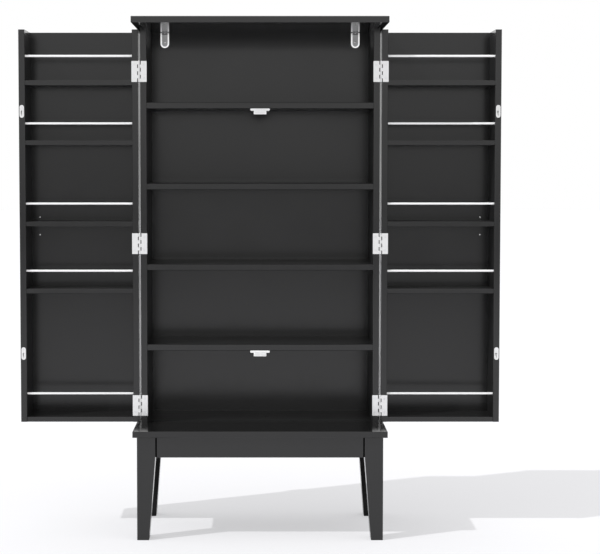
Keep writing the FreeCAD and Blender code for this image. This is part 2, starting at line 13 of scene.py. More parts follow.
import bmesh
import bpy
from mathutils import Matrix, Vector

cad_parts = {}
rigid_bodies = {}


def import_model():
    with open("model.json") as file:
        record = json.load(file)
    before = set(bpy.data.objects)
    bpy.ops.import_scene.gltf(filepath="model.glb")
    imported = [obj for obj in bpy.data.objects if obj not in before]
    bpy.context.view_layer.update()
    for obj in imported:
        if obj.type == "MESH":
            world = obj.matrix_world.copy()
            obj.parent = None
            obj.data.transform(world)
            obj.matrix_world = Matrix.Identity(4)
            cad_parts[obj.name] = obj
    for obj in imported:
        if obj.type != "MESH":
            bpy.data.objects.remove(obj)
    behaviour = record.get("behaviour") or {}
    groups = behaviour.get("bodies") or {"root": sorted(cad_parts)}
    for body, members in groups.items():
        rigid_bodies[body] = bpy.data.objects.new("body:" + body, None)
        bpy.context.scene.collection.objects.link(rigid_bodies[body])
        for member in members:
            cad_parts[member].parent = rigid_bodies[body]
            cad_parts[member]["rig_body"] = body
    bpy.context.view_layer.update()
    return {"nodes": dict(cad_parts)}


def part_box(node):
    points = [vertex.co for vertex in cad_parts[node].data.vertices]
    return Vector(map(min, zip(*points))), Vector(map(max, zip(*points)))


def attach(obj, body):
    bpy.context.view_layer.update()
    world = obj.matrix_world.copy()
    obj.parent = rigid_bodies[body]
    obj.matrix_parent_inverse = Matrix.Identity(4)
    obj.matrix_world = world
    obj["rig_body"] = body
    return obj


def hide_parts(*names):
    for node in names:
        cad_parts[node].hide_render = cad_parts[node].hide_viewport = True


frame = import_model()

# %% [markdown]
# ## Ways of working
#
# Blender's operators act on whatever is selected, so every step first says what that is. The three
# pickers below choose faces or edges by where they are, as one would by clicking on them.
# All lengths are in metres, so a size in millimetres is written as a number times MM.

# %% Pickers
MM = 0.001
SAME = 0.02 * MM            # two places this close count as one


def near(value, target):
    return abs(value - target) < SAME


def work_on(piece):
    """Opens one piece in edit mode, with all of it selected."""
    bpy.ops.object.select_all(action="DESELECT")
    bpy.context.view_layer.objects.active = piece
    piece.select_set(True)
    bpy.ops.object.mode_set(mode="EDIT")
    bpy.ops.mesh.select_all(action="SELECT")


def stop_work():
    bpy.ops.object.mode_set(mode="OBJECT")
    return bpy.context.object


def pick(kind, things, passes):
    bpy.ops.mesh.select_mode(type=kind)
    bpy.ops.mesh.select_all(action="DESELECT")
    mesh = bmesh.from_edit_mesh(bpy.context.object.data)
    for thing in getattr(mesh, things):
        thing.select_set(passes(thing))
    mesh.select_flush_mode()
    bmesh.update_edit_mesh(bpy.context.object.data)


def pick_faces(test):
    """Selects the faces whose middle and normal pass the test."""
    pick("FACE", "faces", lambda face: test(face.calc_center_median(), face.normal))


def pick_edges(test):
    """Selects the edges with both ends passing the test."""
    pick("EDGE", "edges", lambda edge: all(test(point.co) for point in edge.verts))


def pick_edges_along(axis, test):
    """Selects the edges that run along one axis, with both ends passing the test."""
    across = [i for i in range(3) if i != "xyz".index(axis)]

    def passes(edge):
        start, end = (point.co for point in edge.verts)
        return all(near(start[i], end[i]) for i in across) and test(start) and test(end)

    pick("EDGE", "edges", passes)


print("pickers ready")

# %% [markdown]
# ## Starting shapes and joints
#
# A piece starts as a cube or a cylinder of its own size, at its own place. Applying the transform
# straight away moves the place into the mesh, so that the object stays at the origin like the CAD
# nodes do. Pieces are cut and welded with Boolean modifiers, and their edges are softened with a
# Bevel modifier, because a machined edge without one catches no light.

# %% Cubes, cylinders, cuts and bevels
def keep_place():
    bpy.ops.object.transform_apply(location=True, rotation=True, scale=True)
    return bpy.context.object


def cube(low, high):
    """A cube that fills the box between two corners."""
    low, high = Vector(low), Vector(high)
    bpy.ops.object.select_all(action="DESELECT")
    bpy.ops.mesh.primitive_cube_add(size=1, location=(low + high) / 2, scale=high - low)
    return keep_place()


TURNS = {"x": (0, math.pi / 2, 0), "y": (-math.pi / 2, 0, 0), "z": (0, 0, 0)}


def cone(start, axis, length, radius, end_radius, sides=32):
    """A cone or a cylinder that runs from start along one axis."""
    middle = Vector(start)
    middle["xyz".index(axis)] += length / 2
    bpy.ops.object.select_all(action="DESELECT")
    bpy.ops.mesh.primitive_cone_add(vertices=sides, radius1=radius, radius2=end_radius, depth=length,
                                    location=middle, rotation=TURNS[axis])
    return keep_place()


def add_modifier(piece, kind, **settings):
    """Adds a modifier, sets it and applies it."""
    bpy.ops.object.select_all(action="DESELECT")
    bpy.context.view_layer.objects.active = piece
    piece.select_set(True)
    modifier = piece.modifiers.new(kind.lower(), kind)
    for name, value in settings.items():
        setattr(modifier, name, value)
    bpy.ops.object.modifier_apply(modifier=modifier.name)


def combine(operation, piece, *others):
    """Cuts or welds other pieces with this one, and uses them up."""
    for other in others:
        add_modifier(piece, "BOOLEAN", operation=operation, solver="MANIFOLD", object=other)
        bpy.data.objects.remove(other)
    return piece


def cut(piece, *cutters):
    return combine("DIFFERENCE", piece, *cutters)


def weld(piece, *others):
    return combine("UNION", piece, *others)


def soften(piece, width, segments=2, angle=30):
    """Rounds every edge that is sharper than the angle."""
    add_modifier(piece, "BEVEL", width=width, segments=segments, limit_method="ANGLE",
                 angle_limit=math.radians(angle), harden_normals=False)
    return piece


print("starting shapes ready")

# %% [markdown]
# ## Copies and handing over
#
# What repeats is modelled once, near the origin, and copied to its places. A mirrored copy is
# turned inside out by its negative scale, so its normals are worked out again. The copies that
# stand for one CAD node are joined to one piece, which then rides on that node's body, replaces
# the node and is compared with it.

# %% Copies
def copy_to(master, place, mirrored=False, half_turn=False, upwards=False):
    """A copy with its own mesh at a place: mirrored in X, turned half round Y, or tipped from +Y to +Z."""
    bpy.ops.object.select_all(action="DESELECT")
    bpy.context.view_layer.objects.active = master
    master.select_set(True)
    bpy.ops.object.duplicate()
    twin = bpy.context.object
    twin.location = place
    twin.scale.x = -1 if mirrored else 1
    twin.rotation_euler.x = math.pi / 2 if upwards else 0
    twin.rotation_euler.y = math.pi if half_turn else 0
    keep_place()
    if mirrored:
        work_on(twin)
        bpy.ops.mesh.normals_make_consistent(inside=False)
        stop_work()
    return twin


def join(pieces):
    bpy.ops.object.select_all(action="DESELECT")
    for piece in pieces:
        piece.select_set(True)
    bpy.context.view_layer.objects.active = pieces[0]
    bpy.ops.object.join()
    return bpy.context.object


def used_up(*masters):
    for master in masters:
        bpy.data.objects.remove(master)


def hand_over(piece, name, finish):
    """Finishes a piece as the one that stands for a CAD node of almost the same name."""
    node = name[:-len("_piece")]
    body = frame["nodes"][node]["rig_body"]
    piece.name = name
    bpy.ops.object.select_all(action="DESELECT")
    bpy.context.view_layer.objects.active = piece
    piece.select_set(True)
    bpy.ops.object.shade_smooth_by_angle(angle=math.radians(35))
    add_modifier(piece, "WEIGHTED_NORMAL", weight=50, keep_sharp=True)
    piece.data.materials.clear()
    piece.data.materials.append(finish)
    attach(piece, body)
    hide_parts(node)
    corners = [Vector(corner) for corner in piece.bound_box]
    low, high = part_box(node)
    off = max((corners[0] - low).length, (corners[6] - high).length)
    piece.data.calc_loop_triangles()
    print(f"{name}: {len(piece.data.loop_triangles)} triangles, {off / MM:.2f} mm off its CAD box")


print("copies ready")

# %% [markdown]
# ## Finishes as arithmetic
#
# A finish is a small network of nodes. Written as links it is hard to read, so one class wraps a
# socket: adding or multiplying two of them adds a Math node, and any other node comes from one
# method that takes its type, its settings and what goes into its sockets.

# %% A socket that can be calculated with
class Wire:
    """One output socket in the nodes of a finish."""

    def __init__(self, tree, socket=None):
        self.tree = tree
        self.socket = socket

    def node(self, kind, settings=None, sockets=None, out=0):
        """Adds a node, sets it, fills its sockets and returns the wire of one of its outputs."""
        made = self.tree.nodes.new(kind)
        for name, value in (settings or {}).items():
            setattr(made, name, value)
        for name, value in (sockets or {}).items():
            if isinstance(value, Wire):
                self.tree.links.new(value.socket, made.inputs[name])
            else:
                made.inputs[name].default_value = value
        if made.outputs:
            return Wire(self.tree, made.outputs[out])

    def maths(self, operation, first, second):
        return self.node("ShaderNodeMath", {"operation": operation}, {0: first, 1: second})

    def __add__(self, other):
        return self.maths("ADD", self, other)

    def __sub__(self, other):
        return self.maths("SUBTRACT", self, other)

    def __rsub__(self, other):
        return self.maths("SUBTRACT", other, self)

    def __mul__(self, other):
        return self.maths("MULTIPLY", self, other)

    __radd__ = __add__
    __rmul__ = __mul__

    def axis(self, name):
        """One axis of these coordinates."""
        return self.node("ShaderNodeSeparateXYZ", {}, {0: self}, out=name)

    def across(self):
        """How far these coordinates lie from the middle of the cabinet, to either side."""
        return self.maths("ABSOLUTE", self.axis("X"), 0)

    def stretched(self, x, y, z):
        """These coordinates, scaled along each axis."""
        return self.node("ShaderNodeVectorMath", {"operation": "MULTIPLY"}, {0: self, 1: (x, y, z)})

    def noise(self, scale, detail=2.0):
        """Soft random values from 0 to 1, about scale bumps to the metre."""
        return self.node("ShaderNodeTexNoise", {}, {"Vector": self, "Scale": scale, "Detail": detail})

    def blend(self, first, second):
        """The first colour where this value is 0, and the second where it is 1."""
        colours = [colour if isinstance(colour, Wire) else (*colour, 1) for colour in (first, second)]
        return self.node("ShaderNodeMix", {"data_type": "RGBA"},
                         {0: self, 6: colours[0], 7: colours[1]}, out=2)

    def near(self, value, reach):
        """1 where this value is within reach of another, and 0 elsewhere."""
        return self.node("ShaderNodeMath", {"operation": "COMPARE"}, {0: self, 1: value, 2: reach})

    def between(self, start, end, low, high):
        """Goes smoothly from low to high while this value goes from start to end."""
        return self.node("ShaderNodeMapRange", {"interpolation_type": "SMOOTHSTEP"},
                         {"Value": self, "From Min": start, "From Max": end, "To Min": low, "To Max": high})

    def bump(self, strength, depth):
        return self.node("ShaderNodeBump", {}, {"Strength": strength, "Distance": depth, "Height": self})


def start_finish(name):
    """A new material and the wire of the coordinates that its pattern is laid out on."""
    material = bpy.data.materials.new(name)
    material.use_nodes = True
    material.node_tree.nodes.clear()
    place = Wire(material.node_tree).node("ShaderNodeTexCoord", out="Object")
    return material, place


# A dark matt sheet that stands in for shade where a mask asks for it: painted shade.
PAINTED_SHADE_COLOUR = (0.012, 0.012, 0.012, 1)


def end_finish(place, painted_shade_mask=None, **sockets):
    """Gives the shader its sockets; underscores in their names stand for spaces.

    Where the shade mask is 1, a dark matt sheet shows instead: painted shade.
    """
    shader = place.node("ShaderNodeBsdfPrincipled", {},
                        {name.replace("_", " "): value for name, value in sockets.items()})
    if painted_shade_mask:
        painted_shade_sheet = place.node("ShaderNodeBsdfDiffuse", {}, {"Color": PAINTED_SHADE_COLOUR})
        shader = place.node("ShaderNodeMixShader", {}, {0: painted_shade_mask, 1: shader, 2: painted_shade_sheet})
    place.node("ShaderNodeOutputMaterial", {}, {"Surface": shader})


print("wires ready")

# %% [markdown]
# ## Black paint
#
# The boards are sprayed satin black. Such paint is nearly all gloss: the colour under it is very
# dark, and what one sees is the pale room in its surface, faint where one looks straight at it and
# bright where one looks along it. A sprayed coat isn't quite flat: it has a fine orange-peel
# texture and drifts a little in sheen from place to place. On the solid wood of the stand, the
# grain shows through as faint ridges along each piece. Masks on the place can also make the paint
# rougher with a lighter colour, which is painted light, or mix a dark matt sheet in for its gloss,
# which is painted shade.

# %% Black paint
DRIFT_SCALE, CLOUD_SCALE, PEEL_SCALE = 7.0, 45.0, 620.0     # bumps to the metre
SHADE_SPREAD = (0.65, 1.35)     # darkest and lightest, as shares of the paint's own shade
BLUENESS = 1.03
# The lighter colour laid where the inside is masked: painted light.
PAINTED_LIGHT_COLOUR = (0.016, 0.016, 0.0165)
PAINTED_LIGHT_ROUGHNESS = 0.22


def black_paint(name, shade, roughness, gloss=0.62, grain=None, painted_light_mask=None, painted_shade_mask=None):
    """Satin black paint; grain stretches the wood's ridges. Two masks made from the place paint light
    (rougher, with a lighter colour) and paint shade (a dark matt sheet instead of the gloss).
    """
    material, place = start_finish(name)
    drift = place.noise(DRIFT_SCALE, 3.0)
    cloud = place.noise(CLOUD_SCALE, 2.0)
    peel = place.noise(PEEL_SCALE, 2.0)
    dark, light = ([share * shade, share * shade, BLUENESS * share * shade] for share in SHADE_SPREAD)
    colour = (0.6 * drift + 0.4 * cloud).blend(dark, light)
    height = peel
    if grain:
        ridges = place.stretched(*grain).noise(1.0, 4.0)
        height = peel + 2.5 * ridges
    sheen = roughness + 0.08 * drift + 0.04 * cloud
    # Where this mask is 1 the paint is rougher, and its colour is painted lighter: painted light.
    if painted_light_mask:
        painted_light = painted_light_mask(place)
        sheen = sheen + PAINTED_LIGHT_ROUGHNESS * painted_light
        colour = painted_light.blend(colour, PAINTED_LIGHT_COLOUR)
    # Where the other mask is 1, a dark matt sheet replaces the gloss: painted shade.
    end_finish(place, painted_shade_mask=painted_shade_mask and painted_shade_mask(place), Base_Color=colour, Roughness=sheen,
               Specular_IOR_Level=gloss, Normal=height.bump(0.10, 0.05 * MM))
    return material


print("black paint ready")

# %% [markdown]
# ## Painted light and shade
#
# An even gloss would leave the inside of the cabinet paler than the photograph shows it. So the
# shelves, the inner faces of the uprights and the rear of the base are made rougher there behind
# their front edges, and their colour is painted lighter: painted light that sets their tone in the
# shade. Each such place is a mask from 0 to 1, worked out from where a point lies on the cabinet.
# It could be painted on the mesh by hand too, but a rule is shorter and easy to change.

# %% Painted light inside the case
FACE = 0.3 * MM             # a point this near to a plane lies on that face
CASE_INSIDE = 277.5 * MM
STILE_INSIDE = 312.5 * MM
FREE_STILE_INSIDE = 574 * MM


def behind_edge(place):
    """All of a shelf but its front edge."""
    return place.axis("Y").between(-35.6 * MM, -34 * MM, 0.0, 1.0)


def painted_light_rack_shelf(place):
    """A rack's shelf behind its front edge; the lowest one gets less of the painted light."""
    return behind_edge(place) * place.axis("Z").between(300 * MM, 400 * MM, 0.62, 1.0)


def painted_light_case_shelf(place):
    """A shelf of the case behind its front edge; all but the highest get less of the painted light."""
    return behind_edge(place) * place.axis("Z").between(900 * MM, 1000 * MM, 0.58, 1.0)


# Painted light on the base inside the case.
def painted_light_base(place):
    """The part of the base that lies inside the case."""
    return place.axis("Y").between(-60 * MM, 20 * MM, 0.0, 0.7)


# Painted light on the inner faces of the case's sides and the stiles.
def painted_light_inner_faces(place):
    """The inner faces of the case's sides and of the doors' stiles."""
    across = place.across()
    below_top = place.axis("Z").between(1214 * MM, 1224 * MM, 1.0, 0.0)
    free_stile = across.near(FREE_STILE_INSIDE, FACE) * below_top
    return sum((across.near(plane, FACE) for plane in (CASE_INSIDE, STILE_INSIDE)), free_stile)


print("masks of dry spray ready")

# %% [markdown]
# In other places a dark matt sheet is mixed in for the gloss: painted shade. Partly it lies on the
# same inner faces, on the base's top, high on the back panel, at the foot of the racks and on the
# fronts of the rear legs, and fully under the ends of the top and in the apron's grooves.

# %% Painted shade
TOP_UNDER = 1235 * MM
BACK_FACE = 180 * MM
RACK_BACK = 77 * MM


# Painted shade on the inner faces.
def painted_shade_inner_faces(place):
    """The same inner faces, but only a little."""
    return 0.3 * painted_light_inner_faces(place)


# Painted shade on the base's top.
def painted_shade_base_top(place):
    """The base's top, most of all in front of the case, but not its front edge."""
    depth = place.axis("Y")
    graded = depth.between(-183 * MM, -179 * MM, 0.0, 1.0) * depth.between(-35 * MM, 25 * MM, 0.60, 0.18)
    return graded * place.across().between(262 * MM, 278 * MM, 1.0, 0.45)


# Painted shade high on the back panel, under the top.
def painted_shade_under_top(place):
    """The strip of back panel under the top."""
    return place.axis("Y").near(BACK_FACE, FACE) * place.axis("Z").between(1186 * MM, 1206 * MM, 0.0, 0.36)


# Painted shade at the foot of each rack.
def painted_shade_rack_foot(place):
    """The strip of door panel over the lowest rack shelf."""
    return place.axis("Y").near(RACK_BACK, FACE) * place.axis("Z").between(291 * MM, 318 * MM, 0.46, 0.0)


# Painted shade on the fronts of the rear legs.
def painted_shade_leg_front(place):
    """The front face of a rear leg."""
    return place.axis("Y").between(130.3 * MM, 130.9 * MM, 0.7, 0.0)


# Painted shade under the ends of the top.
def painted_shade_under_ends(place):
    """The underside of the top where it stands out past the case."""
    return place.axis("Z").near(TOP_UNDER, 0.2 * MM) * place.across().between(284 * MM, 290 * MM, 0.0, 1.0)


# Painted shade in the apron's grooves.
def painted_shade_grooves(place):
    """The ends of the apron, where it is stepped back beside the legs."""
    return place.across().between(246.9 * MM, 247.1 * MM, 0.0, 1.0)


print("masks of thin paint ready")

# %% [markdown]
# The paints differ a little in shade and gloss. The top is polished most, because it mirrors the
# brackets under it quite clearly. Along the grain the ridges of the wood are stretched thirty times.

# %% Sprayed boards and painted wood
ACROSS_GRAIN, ALONG_GRAIN = 420.0, 14.0     # ridges to the metre
UPRIGHT_GRAIN = (ACROSS_GRAIN, ACROSS_GRAIN, ALONG_GRAIN)
APRON_GRAIN = (ALONG_GRAIN, ACROSS_GRAIN, ACROSS_GRAIN)
SIDE_APRON_GRAIN = (ACROSS_GRAIN, ALONG_GRAIN, ACROSS_GRAIN)

# Some of these paints get a mask of painted light inside the case, or one of painted shade. The base's own
# colour is darker than the rest, to keep its top dark: painted shade too.
sprayed_shelf = black_paint("sprayed_shelf", 0.007, 0.12, painted_light_mask=painted_light_case_shelf)
sprayed_rack = black_paint("sprayed_rack", 0.007, 0.12, painted_light_mask=painted_light_rack_shelf)
sprayed_base = black_paint("sprayed_base", 0.004, 0.08, painted_light_mask=painted_light_base, painted_shade_mask=painted_shade_base_top)
sprayed_upright = black_paint("sprayed_upright", 0.007, 0.10, painted_light_mask=painted_light_inner_faces, painted_shade_mask=painted_shade_inner_faces)
sprayed_top = black_paint("sprayed_top", 0.007, 0.02, painted_shade_mask=painted_shade_under_ends)
sprayed_panel = black_paint("sprayed_panel", 0.008, 0.12, painted_shade_mask=painted_shade_under_top)
sprayed_door = black_paint("sprayed_door", 0.008, 0.12, gloss=0.56, painted_shade_mask=painted_shade_rack_foot)
painted_upright = black_paint("painted_upright", 0.007, 0.10, grain=UPRIGHT_GRAIN)
painted_rear_leg = black_paint("painted_rear_leg", 0.007, 0.10, grain=UPRIGHT_GRAIN, painted_shade_mask=painted_shade_leg_front)
painted_apron = black_paint("painted_apron", 0.007, 0.10, grain=APRON_GRAIN, painted_shade_mask=painted_shade_grooves)
painted_side_apron = black_paint("painted_side_apron", 0.007, 0.10, grain=SIDE_APRON_GRAIN)
print("paint for boards, panels, legs and aprons")

# %% [markdown]
# ## Paint on the boards
#
# Every board keeps its CAD mesh. The legs' grain runs upwards, the front and rear aprons' across,
# and the side aprons' from front to back. All else is smooth sprayed board.

# %% Who gets which paint
GRAINED = {"left_apron": painted_side_apron, "right_apron": painted_side_apron,
           "front_apron": painted_apron, "rear_apron": painted_apron, "glue_blocks": painted_apron}
for hand in ("left", "right"):
    GRAINED[f"{hand}_front_leg"] = painted_upright
    GRAINED[f"{hand}_rear_leg"] = painted_rear_leg
PANELS = {"back_panel": sprayed_panel, "top_panel": sprayed_top, "base_panel": sprayed_base,
          "left_door_panel": sprayed_door, "right_door_panel": sprayed_door}
RACKS = {name: sprayed_rack for name in frame["nodes"] if "_door_shelf_" in name}
UPRIGHTS = {name: sprayed_upright for name in frame["nodes"] if name.endswith(("_side", "_stile"))}

for name, node in frame["nodes"].items():
    node.data.materials.clear()
    node.data.materials.append((GRAINED | PANELS | RACKS | UPRIGHTS).get(name, sprayed_shelf))
print(len(GRAINED), "pieces of solid wood,", len(PANELS), "panels,", len(RACKS), "rack shelves,",
      len(UPRIGHTS), "uprights")

# %% [markdown]
# ## Bright metal, steel and white plastic
#
# The fittings are plated. Plated metal has almost no colour of its own and mirrors the room, so its
# roughness decides how it looks: the stamped hinges are brushed along their length and a little
# uneven, and the screws of brackets and pulls are polished. The rails look evenly white, as satin
# rod does, so they are white with only a tenth of metal. On a bracket the raised rim is smoother and
# painted full white, a painted highlight, while the recess behind it is painted grey and the bend
# darker still, as painted shade. The catches are white moulded plastic.

# %% Plated and moulded finishes
STAIN_SCALE, FLOW_SCALE, PIT_SCALE = 160.0, 90.0, 2600.0    # bumps to the metre
UNBRUSHED = (1400.0, 1400.0, 1400.0)


def plated(name, shade, roughness, brushing, depth, metal=1.0):
    """Plated metal with fine lines; brushing is how the lines stretch."""
    material, place = start_finish(name)
    lines = place.stretched(*brushing).noise(1.0, 3.0)
    stain = place.noise(STAIN_SCALE, 3.0)
    dark = [0.90 * part for part in shade]
    end_finish(place, Base_Color=(0.5 * lines + 0.5 * stain).blend(dark, shade), Metallic=metal,
               Roughness=roughness + 0.12 * (stain - 0.5) + 0.06 * lines,
               Normal=lines.bump(0.25, depth))
    return material


def stamped(name, recess, crease_shade):
    """Plated sheet whose rim is smoother and painted full white as a highlight; the recess behind it is
    painted grey and the crease at the bend darker, as painted shade.
    """
    material, place = start_finish(name)
    lines = place.stretched(1800.0, 1800.0, 60.0).noise(1.0, 3.0)
    # The rim is painted full white, a painted highlight, and is smoother than the rest.
    raised = place.axis("Y").between(BACK_FACE - 2.2 * MM, BACK_FACE - 1.7 * MM, 1.0, 0.0)
    crease_shade_mask = place.axis("Z").between(TOP_UNDER - 6 * MM, TOP_UNDER - 3 * MM, 0.0, 1.0)
    # The recess is painted grey and the crease at the bend darker: painted shade.
    recess_shade = recess + (crease_shade - recess) * crease_shade_mask + 0.10 * (lines - 0.5)
    colour = (raised + (1 - raised) * recess_shade).blend((0, 0, 0), (1, 1, 1))
    end_finish(place, Base_Color=colour, Metallic=1.0,
               Roughness=0.34 - 0.28 * raised + 0.02 * lines, Normal=lines.bump(0.10, 0.004 * MM))
    return material


def moulded(name, light, dark, roughness):
    """Moulded plastic with a fine eroded texture and a faint flow pattern."""
    material, place = start_finish(name)
    flow = place.noise(FLOW_SCALE, 3.0)
    pits = place.noise(PIT_SCALE, 2.0)
    end_finish(place, Base_Color=flow.blend(dark, light), Roughness=roughness + 0.12 * pits,
               Specular_IOR_Level=0.5, Normal=pits.bump(0.12, 0.03 * MM))
    return material


bright_rail = plated("bright_rail", (1.0, 1.0, 1.0), 0.30, (30.0, 1500.0, 1500.0), 0.003 * MM, metal=0.1)
hinge_plate = plated("hinge_plate", (0.94, 0.94, 0.94), 0.30, (2200.0, 2200.0, 60.0), 0.010 * MM)
screw_plate = plated("screw_plate", (0.92, 0.92, 0.93), 0.28, UNBRUSHED, 0.008 * MM)
polished_screw = plated("polished_screw", (0.96, 0.96, 0.96), 0.10, UNBRUSHED, 0.004 * MM)
strike_plate = plated("strike_plate", (0.95, 0.95, 0.95), 0.30, (1800.0, 1800.0, 50.0), 0.008 * MM)
pole_plate = plated("pole_plate", (0.97, 0.97, 0.97), 0.34, (60.0, 1800.0, 1800.0), 0.010 * MM)
# The recess's grey and the crease's darker grey here are painted shade.
bracket_plate = stamped("bracket_plate", 0.70, 0.15)
catch_plastic = moulded("catch_plastic", (0.98, 0.98, 0.98), (0.94, 0.94, 0.94), 0.30)
black_pull = black_paint("black_pull", 0.010, 0.22)
print("six plated finishes, a stamped one, white plastic and a black pull")

# %% [markdown]
# ## Hinge leaves
#
# A butt hinge is two plates whose edges are rolled round one pin, in turns: knuckles 1, 3 and 5
# belong to the door and 2, 4 and 6 to the case. One leaf is modelled, the right-hand one of the
# case, with the pin's middle at the origin. The plate is a cube, cut across at each knuckle's ends
# so that the edge faces between them can be pulled out as tongues. A knuckle is a cylinder with
# both ends inset and bridged, which gives it a bore. The door's leaf is the same leaf upside down.

# %% One leaf
HINGE_HALF = 25.4 * MM
LEAF_NEAR = 4.4 * MM
LEAF_FAR = 18.5 * MM
LEAF_BACK = 1.75 * MM       # behind the pin's middle
LEAF_FACE = 0.25 * MM
LEAF_CORNER = 0.8 * MM
TONGUE_END = 1.6 * MM       # inside the knuckle, so that the two can be welded
KNUCKLE_COUNT = 6
KNUCKLE_GAP = 0.3 * MM

knuckle_pitch = 2 * HINGE_HALF / KNUCKLE_COUNT
knuckles = []
for i in range(1, KNUCKLE_COUNT, 2):
    upper = HINGE_HALF - i * knuckle_pitch
    knuckles.append((upper - knuckle_pitch + KNUCKLE_GAP / 2, upper - KNUCKLE_GAP / 2))

leaf = cube((-LEAF_FAR, LEAF_FACE, -HINGE_HALF), (-LEAF_NEAR, LEAF_BACK, HINGE_HALF))
work_on(leaf)
for low, high in knuckles:
    for level in (low, high):
        bpy.ops.mesh.select_all(action="SELECT")
        bpy.ops.mesh.bisect(plane_co=(0, 0, level), plane_no=(0, 0, 1))
pick_faces(lambda middle, normal: normal.x > 0.9 and any(low < middle.z < high for low, high in knuckles))
bpy.ops.mesh.extrude_region_move(TRANSFORM_OT_translate={"value": (LEAF_NEAR - TONGUE_END, 0, 0)})
pick_edges(lambda p: near(p.x, -LEAF_FAR) and near(abs(p.z), HINGE_HALF))
bpy.ops.mesh.bevel(offset=LEAF_CORNER, segments=4, affect="EDGES")
stop_work()
print("plate with", len(knuckles), "tongues")

# %% [markdown]
# The two screw holes are cut before the knuckles are welded on, while the plate is still simple. A
# cutter stands out a little at both ends, because a Boolean can fail where two faces share a plane.

# %% Its knuckles and screw holes
BARREL = 2.4 * MM
BORE = 1.25 * MM
KNUCKLE_EDGE = 0.25 * MM
SCREW_RISE = 16 * MM
LEAF_MIDDLE = (LEAF_NEAR + LEAF_FAR) / 2
HEAD = 2.6 * MM
SHANK = 1.2 * MM
SCREW_PLAY = 0.05 * MM
OVERCUT = 0.02 * MM


def knuckle(low, high):
    """A rolled knuckle round the pin, with a bore."""
    roll = cone((0, 0, low), "z", high - low, BARREL, BARREL)
    work_on(roll)
    pick_edges(lambda p: near(p.z, low) or near(p.z, high))
    bpy.ops.mesh.bevel(offset=KNUCKLE_EDGE, segments=2, affect="EDGES")
    pick_faces(lambda middle, normal: abs(normal.z) > 0.99)
    bpy.ops.mesh.inset(thickness=BARREL - KNUCKLE_EDGE - BORE, use_individual=True)
    bpy.ops.mesh.bridge_edge_loops()
    return stop_work()


def screw_hole(x, z, face, back):
    """A cutter for a countersunk hole through a plate that lies between two depths."""
    return cone((x, face - OVERCUT, z), "y", back - face + 2 * OVERCUT, HEAD + SCREW_PLAY, SHANK + SCREW_PLAY)


cut(leaf, *[screw_hole(-LEAF_MIDDLE, rise, LEAF_FACE, LEAF_BACK) for rise in (SCREW_RISE, -SCREW_RISE)])
weld(leaf, *[knuckle(low, high) for low, high in knuckles])
print("leaf:", len(leaf.data.polygons), "faces")

# %% [markdown]
# The three hinges of a door sit at these heights. Left-hand leaves are mirror images.

# %% All twelve leaves
HINGE_HEIGHTS = (308 * MM, 707 * MM, 1127 * MM)
PIVOT_X = 295 * MM
PIVOT_Y = -40.75 * MM

for hand, side in (("right", 1), ("left", -1)):
    pivots = [Vector((side * PIVOT_X, PIVOT_Y, height)) for height in HINGE_HEIGHTS]
    for owner, half_turn in (("case", False), ("door", True)):
        leaves = [copy_to(leaf, pivot, mirrored=side < 0, half_turn=half_turn) for pivot in pivots]
        hand_over(join(leaves), f"{hand}_{owner}_hinge_leaves_piece", hinge_plate)
used_up(leaf)

# %% [markdown]
# ## Hinge pins
#
# A pin is a rod that drops through all six knuckles and is stopped by its flat head. The rod's top
# face is extruded in place, widened and extruded again, which makes the head's shoulder without
# another object.

# %% Pins
PIN = 1.2 * MM
PIN_HEAD = 1.9 * MM
PIN_HEAD_HEIGHT = 0.8 * MM
PIN_HEAD_ROUND = 0.4 * MM
PIN_LIFT = 0.1 * MM         # between the head and the highest knuckle
pin_low = -HINGE_HALF + KNUCKLE_GAP / 2
pin_seat = HINGE_HALF - KNUCKLE_GAP / 2 + PIN_LIFT

pin = cone((0, 0, pin_low), "z", pin_seat - pin_low, PIN, PIN)
work_on(pin)
pick_faces(lambda middle, normal: normal.z > 0.99)
bpy.ops.mesh.extrude_region_move()
bpy.ops.transform.resize(value=(PIN_HEAD / PIN, PIN_HEAD / PIN, 1))
bpy.ops.mesh.extrude_region_move(TRANSFORM_OT_translate={"value": (0, 0, PIN_HEAD_HEIGHT)})
pick_edges(lambda p: near(p.z, pin_seat + PIN_HEAD_HEIGHT))
bpy.ops.mesh.bevel(offset=PIN_HEAD_ROUND, segments=3, affect="EDGES")
stop_work()

for hand, side in (("right", 1), ("left", -1)):
    pins = [copy_to(pin, (side * PIVOT_X, PIVOT_Y, height)) for height in HINGE_HEIGHTS]
    hand_over(join(pins), f"{hand}_hinge_pins_piece", hinge_plate)
used_up(pin)

# %% [markdown]
# ## Countersunk screws
#
# The hinges and strikes are held by small wood screws with flat, countersunk heads. A cone makes
# the head, its small end is extruded to a shank and drawn in to a point, and a cross is cut into
# the face. The cross is two tapered bars, because a real bit is tapered too.

# %% One countersunk screw
SCREW_LENGTH = 14 * MM
SCREW_POINT = 3.6 * MM
HEAD_EDGE = 0.12 * MM
BIT_TAPER = 0.45
BIT_START = 0.1 * MM        # before the face, so that the cut is clean


def cross_recess(face_y, span, width, depth):
    """Two crossed bars that cut a driver recess into a screw head facing -Y."""
    bars = []
    for x, z in ((span / 2, width / 2), (width / 2, span / 2)):
        bar = cube((-x, face_y - BIT_START, -z), (x, face_y + depth, z))
        work_on(bar)
        pick_faces(lambda middle, normal: normal.y > 0.9)
        bpy.ops.transform.resize(value=(BIT_TAPER, 1, BIT_TAPER))
        bars.append(stop_work())
    return bars


